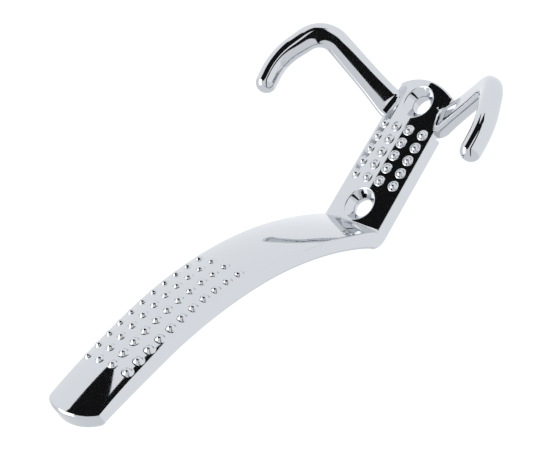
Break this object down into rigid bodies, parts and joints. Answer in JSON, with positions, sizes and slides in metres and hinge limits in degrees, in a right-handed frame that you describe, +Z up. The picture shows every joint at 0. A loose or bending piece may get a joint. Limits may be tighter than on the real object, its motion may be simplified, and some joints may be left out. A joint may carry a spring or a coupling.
{
  "type": "coat hook",
  "caption": "Chrome wall hook with a long dimpled hat arm that curves up from a narrow back plate, and two short coat hooks at its foot.",
  "frame": {"origin": "midway between the two screw holes, on the wall plane", "axes": "+Z up in use, -Y straight out of the wall, X across, with X = 0 the plane of symmetry"},
  "size_m": [0.0808, 0.0631, 0.1357],
  "materials": {
    "body_chrome": "bright chrome plate on a zinc casting",
    "bow_chrome": "bright chrome plate",
    "rivet_steel": "bright zinc plate"
  },
  "bodies": {
    "root": {"hook_body": "body_chrome", "double_coat_hook": "bow_chrome", "bow_rivets": "rivet_steel"}
  },
  "joints": []
}
